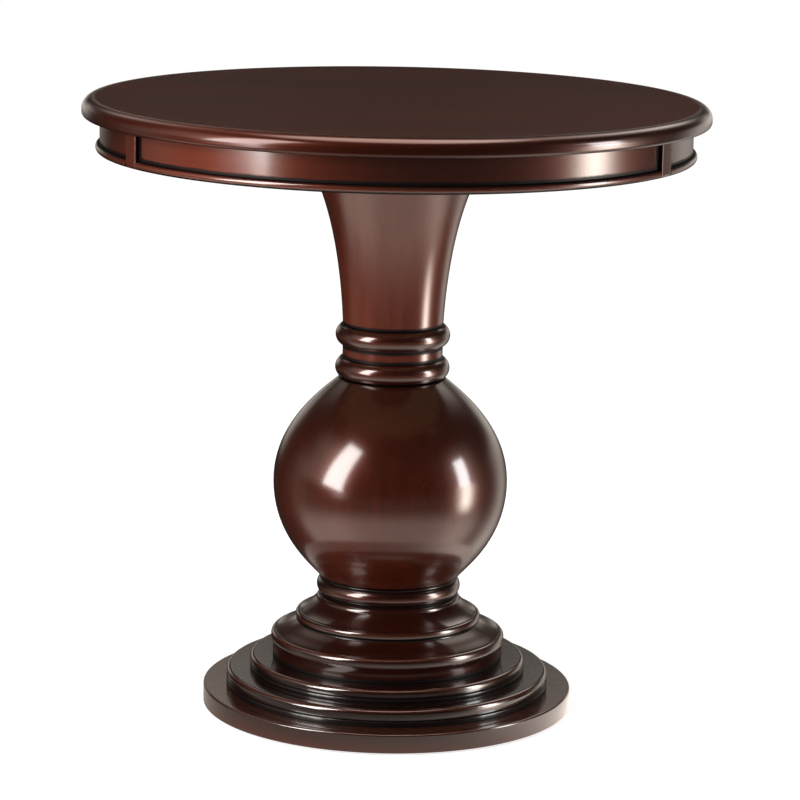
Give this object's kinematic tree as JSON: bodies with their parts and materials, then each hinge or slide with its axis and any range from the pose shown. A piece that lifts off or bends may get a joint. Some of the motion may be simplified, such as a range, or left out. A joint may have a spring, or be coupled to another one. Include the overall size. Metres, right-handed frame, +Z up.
{
  "type": "pedestal accent table",
  "caption": "Round pedestal accent table: lipped top over a bent apron, flared column, ringed neck, large ball and a stepped round base, in dark gloss lacquer.",
  "frame": {"origin": "on the floor, at the centre of the base", "axes": "+Z up along the pedestal; -Y towards the viewer, where the wide apron panel faces; +X right"},
  "size_m": [0.662, 0.662, 0.658],
  "materials": {
    "mahogany_lacquer": "dark mahogany stain with black glaze in the crevices under gloss lacquer",
    "mahogany_veneer": "dark mahogany veneer under gloss lacquer",
    "raw_board": "raw fibreboard",
    "raw_hardwood": "sealed hardwood, unpolished",
    "zinc_steel": "zinc plated",
    "nylon": "moulded"
  },
  "bodies": {
    "root": {"top_core": "raw_board", "top_face_veneer": "mahogany_veneer", "top_back_veneer": "raw_hardwood", "edge_lipping_1": "mahogany_lacquer", "edge_lipping_2": "mahogany_lacquer", "edge_lipping_3": "mahogany_lacquer", "edge_lipping_4": "mahogany_lacquer", "edge_lipping_5": "mahogany_lacquer", "edge_lipping_6": "mahogany_lacquer", "apron_panel_1": "mahogany_lacquer", "apron_bead_1": "mahogany_lacquer", "apron_stile_1": "mahogany_lacquer", "stile_block_1": "raw_hardwood", "apron_panel_2": "mahogany_lacquer", "apron_bead_2": "mahogany_lacquer", "apron_stile_2": "mahogany_lacquer", "stile_block_2": "raw_hardwood", "apron_panel_3": "mahogany_lacquer", "apron_bead_3": "mahogany_lacquer", "apron_stile_3": "mahogany_lacquer", "stile_block_3": "raw_hardwood", "glue_block_1": "raw_hardwood", "glue_block_2": "raw_hardwood", "glue_block_3": "raw_hardwood", "glue_block_4": "raw_hardwood", "glue_block_5": "raw_hardwood", "glue_block_6": "raw_hardwood", "mounting_board": "raw_hardwood", "column_flare": "mahogany_lacquer", "neck_collar": "mahogany_lacquer", "ball": "mahogany_lacquer", "base_collar": "mahogany_lacquer", "base_crown": "mahogany_lacquer", "base_cove": "mahogany_lacquer", "base_upper_step": "mahogany_lacquer", "base_lower_step": "mahogany_lacquer", "base_board": "mahogany_lacquer", "tie_rod": "zinc_steel", "rod_washer_top": "zinc_steel", "rod_nut_top": "zinc_steel", "rod_washer_bottom": "zinc_steel", "rod_nut_bottom": "zinc_steel", "mounting_screws": "zinc_steel", "block_screws": "zinc_steel", "base_screws": "zinc_steel", "column_dowels": "raw_hardwood", "glide_1": "nylon", "glide_2": "nylon", "glide_3": "nylon", "glide_4": "nylon", "glide_5": "nylon", "glide_6": "nylon"}
  },
  "joints": []
}
